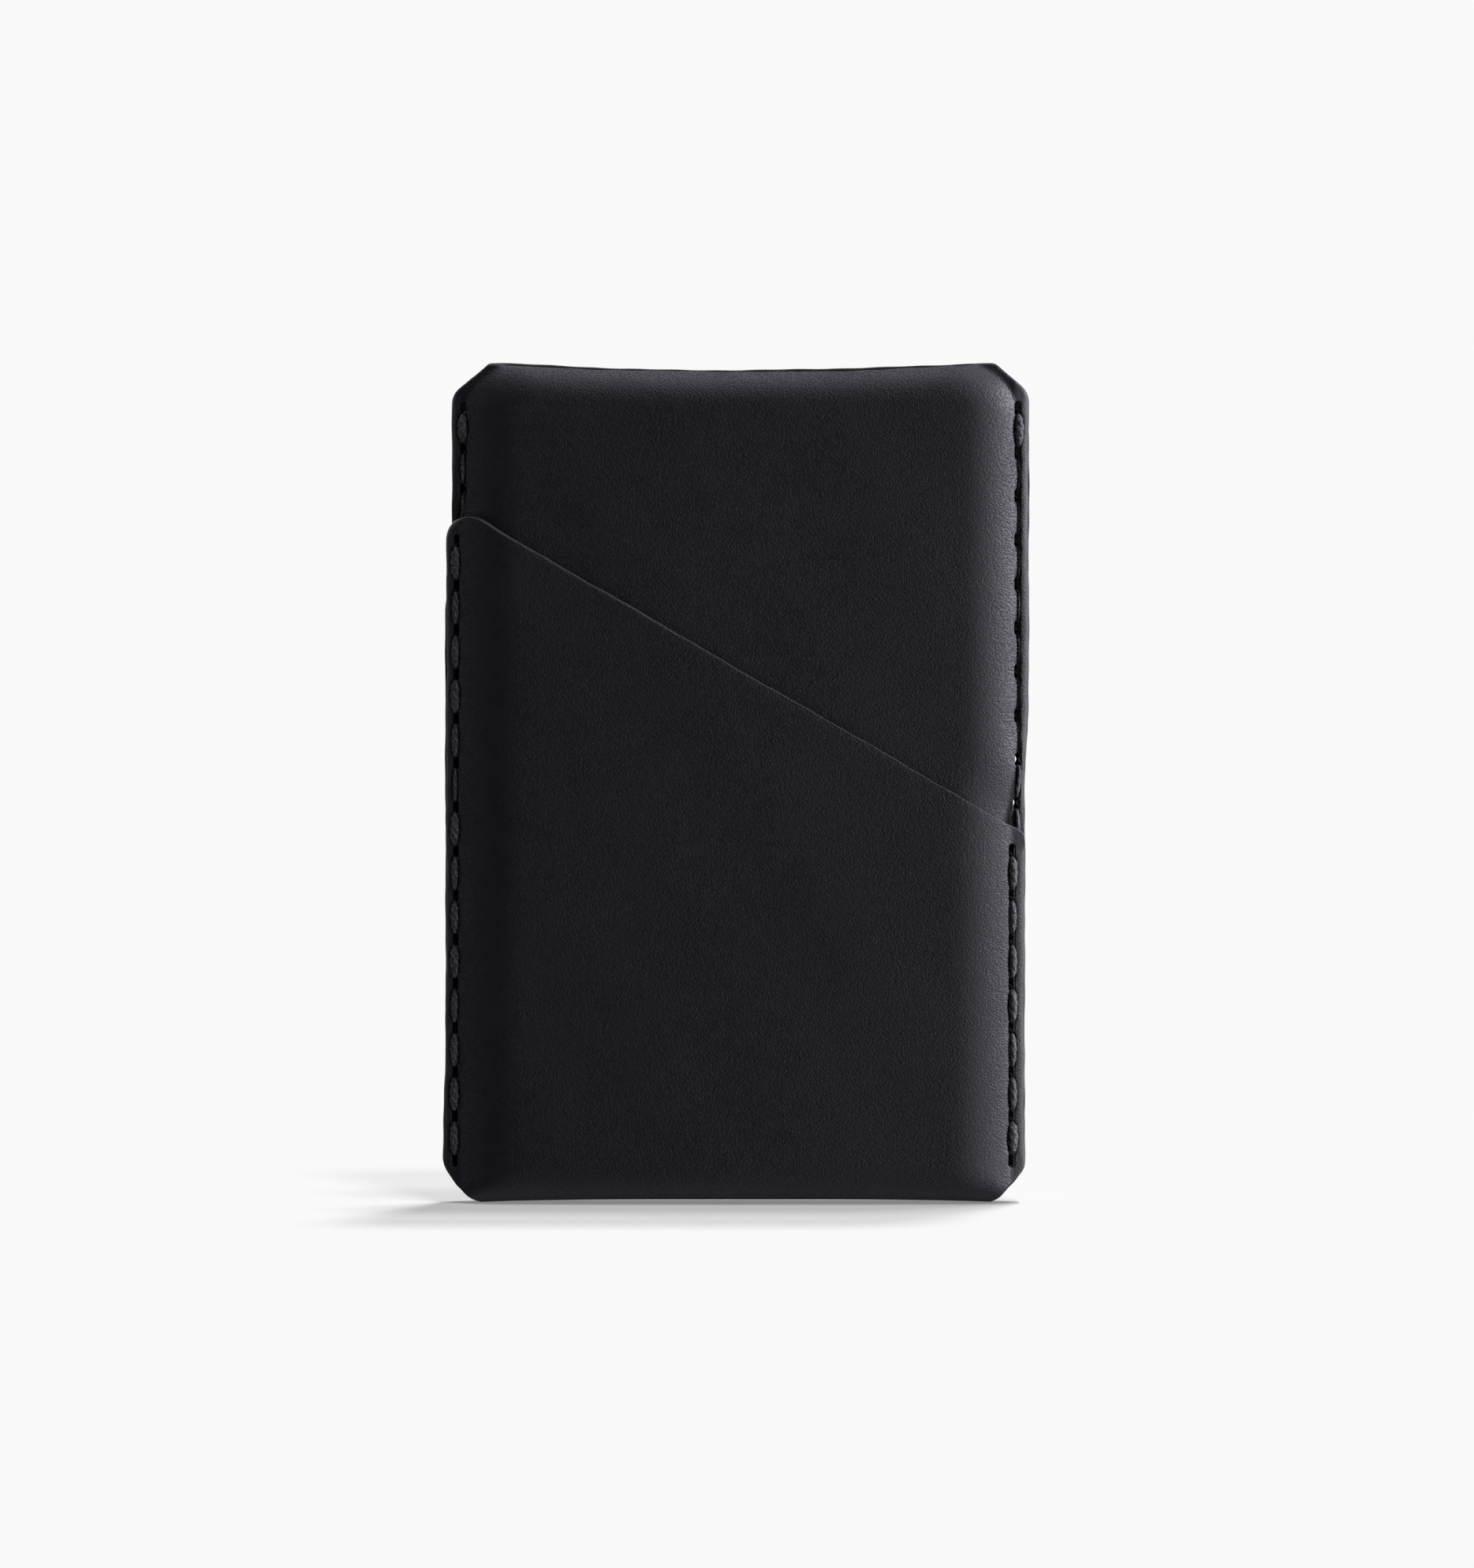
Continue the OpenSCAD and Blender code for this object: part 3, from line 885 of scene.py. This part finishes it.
CAMERA_DISTANCE = 1.5
CAMERA_TILT = math.radians(3)
VIEW_HEIGHT = 0.1895  # what the frame's height shows at the holder
LOOK_AT = Vector((0.0, 0.0, 0.0507))
PAPER = 0.947  # the pale ground's brightness
# The shares of it that come from light under the paper, from the sky, and from each (towards, share) lamp.
FLOOR_GLOW = 0.23
SKY = 0.04
SHADOW_SUNS = [
    ((-0.13, -0.13, -1), 0.22),
    ((-0.14, -0.32, -1), 0.26),
    ((-0.15, 0.14, -1), 0.13),
    ((-0.17, 0.42, -1), 0.12),
]
SUN_SPREAD = 7  # degrees


def make_camera():
    """A long lens in front of the holder, tilted slightly down."""
    data = bpy.data.cameras.new("camera")
    data.sensor_fit = "VERTICAL"
    data.sensor_height = 36
    data.lens = data.sensor_height * CAMERA_DISTANCE / VIEW_HEIGHT
    data.clip_end = 50
    camera = bpy.data.objects.new("camera", data)
    away = Vector((0, -math.cos(CAMERA_TILT), math.sin(CAMERA_TILT)))
    camera.location = LOOK_AT + away * CAMERA_DISTANCE
    camera.rotation_euler = (-away).to_track_quat("-Z", "Y").to_euler()
    bpy.context.scene.collection.objects.link(camera)
    bpy.context.scene.camera = camera


def make_floor():
    """A wide sheet of pale paper. Light from below passes through it to the holder."""
    mesh = bpy.data.meshes.new("floor")
    half = 6.0
    corners = [(-half, -half, 0), (half, -half, 0), (half, half, 0), (-half, half, 0)]
    mesh.from_pydata(corners, [], [(0, 1, 2, 3)])
    floor = bpy.data.objects.new("floor", mesh)
    bpy.context.scene.collection.objects.link(floor)
    n = Nodes("paper")
    n.put(n.shader.inputs["Base Color"], (1, 1, 1, 1))
    n.put(n.shader.inputs["Roughness"], 1.0)
    n.put(n.shader.inputs["Specular IOR Level"], 0.0)
    n.put(n.shader.inputs["Emission Color"], (PAPER, PAPER, PAPER, 1))
    n.put(n.shader.inputs["Emission Strength"], FLOOR_GLOW)
    mesh.materials.append(n.material)
    floor.visible_glossy = False
    floor.visible_diffuse = False
    floor.visible_shadow = False
    return floor


def make_world():
    """White to the camera, dim to reflections, and an even sky for the floor."""
    world = bpy.data.worlds.new("studio")
    bpy.context.scene.world = world
    world.use_nodes = True
    tree = world.node_tree
    tree.nodes.clear()
    add = tree.nodes.new
    ray = add("ShaderNodeLightPath")
    seen, sky, dim = (add("ShaderNodeBackground") for _ in range(3))
    seen.inputs["Color"].default_value = (PAPER, PAPER, PAPER, 1)
    level = PAPER * SKY
    sky.inputs["Color"].default_value = (level, level, level, 1)
    dim.inputs["Color"].default_value = (0.004, 0.004, 0.005, 1)
    first, second = add("ShaderNodeMixShader"), add("ShaderNodeMixShader")
    out = add("ShaderNodeOutputWorld")
    link = tree.links.new
    link(ray.outputs["Is Glossy Ray"], first.inputs[0])
    link(sky.outputs[0], first.inputs[1])
    link(dim.outputs[0], first.inputs[2])
    link(ray.outputs["Is Camera Ray"], second.inputs[0])
    link(first.outputs[0], second.inputs[1])
    link(seen.outputs[0], second.inputs[2])
    link(second.outputs[0], out.inputs[0])


def light_only(light, pieces):
    """Makes a light fall on these pieces alone."""
    group = bpy.data.collections.new(light.name + "_falls_on")
    for piece in pieces:
        group.objects.link(piece)
    light.light_linking.receiver_collection = group


def softbox(name, place, target, size, watts, pieces, colour=(1, 1, 1)):
    """A rectangular lamp that faces the target and falls on these pieces alone."""
    data = bpy.data.lights.new(name, "AREA")
    data.shape = "RECTANGLE"
    data.size, data.size_y = size
    data.energy = watts
    data.color = colour
    light = bpy.data.objects.new(name, data)
    light.visible_camera = False
    light.location = place
    light.rotation_euler = (Vector(target) - Vector(place)).to_track_quat("-Z", "Y").to_euler()
    bpy.context.scene.collection.objects.link(light)
    light_only(light, pieces)


def floor_sun(name, towards, share, floor):
    """A lamp that only draws the holder's soft shadow on the floor."""
    data = bpy.data.lights.new(name, "SUN")
    direction = Vector(towards).normalized()
    data.energy = PAPER * share * math.pi / -direction.z
    data.angle = math.radians(SUN_SPREAD)
    light = bpy.data.objects.new(name, data)
    light.rotation_euler = direction.to_track_quat("-Z", "Y").to_euler()
    bpy.context.scene.collection.objects.link(light)
    light_only(light, [floor])


def make_lights(pieces, floor):
    """Large boxes round the holder, two of them below for the light that pale paper throws back, and the
    lamps that draw its shadow."""
    middle = (0, 0, 0.05)
    softbox("right_softbox", (0.80, 0.02, 0.30), middle, (0.3, 0.5), 12.2, pieces, (0.97, 0.96, 1.09))
    softbox("right_front_softbox", (0.70, -0.45, 0.16), middle, (0.5, 0.9), 1.4, pieces, (1.12, 1.04, 0.86))
    softbox("front_fill", (0.50, -1.00, 0.10), middle, (0.6, 0.8), 0.1, pieces, (0.7, 0.85, 1.5))
    softbox("top_softbox", (0.05, 0.05, 0.75), middle, (0.9, 0.5), 3.9, pieces, (0.98, 0.94, 1.08))
    softbox("left_fill", (-0.75, -0.15, 0.10), middle, (0.5, 0.9), 0.75, pieces, (1.0, 0.9, 1.1))
    softbox("floor_bounce", (0.50, -0.50, -0.45), middle, (0.5, 0.5), 1.85, pieces, (0.95, 0.92, 1.13))
    softbox("low_bounce", (0.0, 0.10, -0.60), middle, (1.2, 0.5), 0.7, pieces, (1.05, 0.95, 1.0))
    softbox("back_fill", (-0.5, 0.9, 0.4), middle, (0.8, 0.8), 8.0, pieces)
    for towards, share in SHADOW_SUNS:
        floor_sun("shadow_sun", towards, share, floor)


# ---------------------------------------------------------------- assembly


def put_in(piece, node, material):
    """Gives the piece its material, and shows it in place of a CAD node."""
    piece.data.materials.append(material)
    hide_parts(node)
    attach(piece, "root")
    return piece


leather, thread = leather_material(), thread_material()
pieces = [
    put_in(make_wrap(), "outer_wrap", leather),
    put_in(make_panel(), "inner_panel", leather),
    put_in(make_thread("left_thread", -1), "left_seam_thread", thread),
    put_in(make_thread("right_thread", 1), "right_seam_thread", thread),
]
make_camera()
ground = make_floor()
make_world()
make_lights(pieces, ground)
bpy.context.scene.view_settings.view_transform = "Standard"
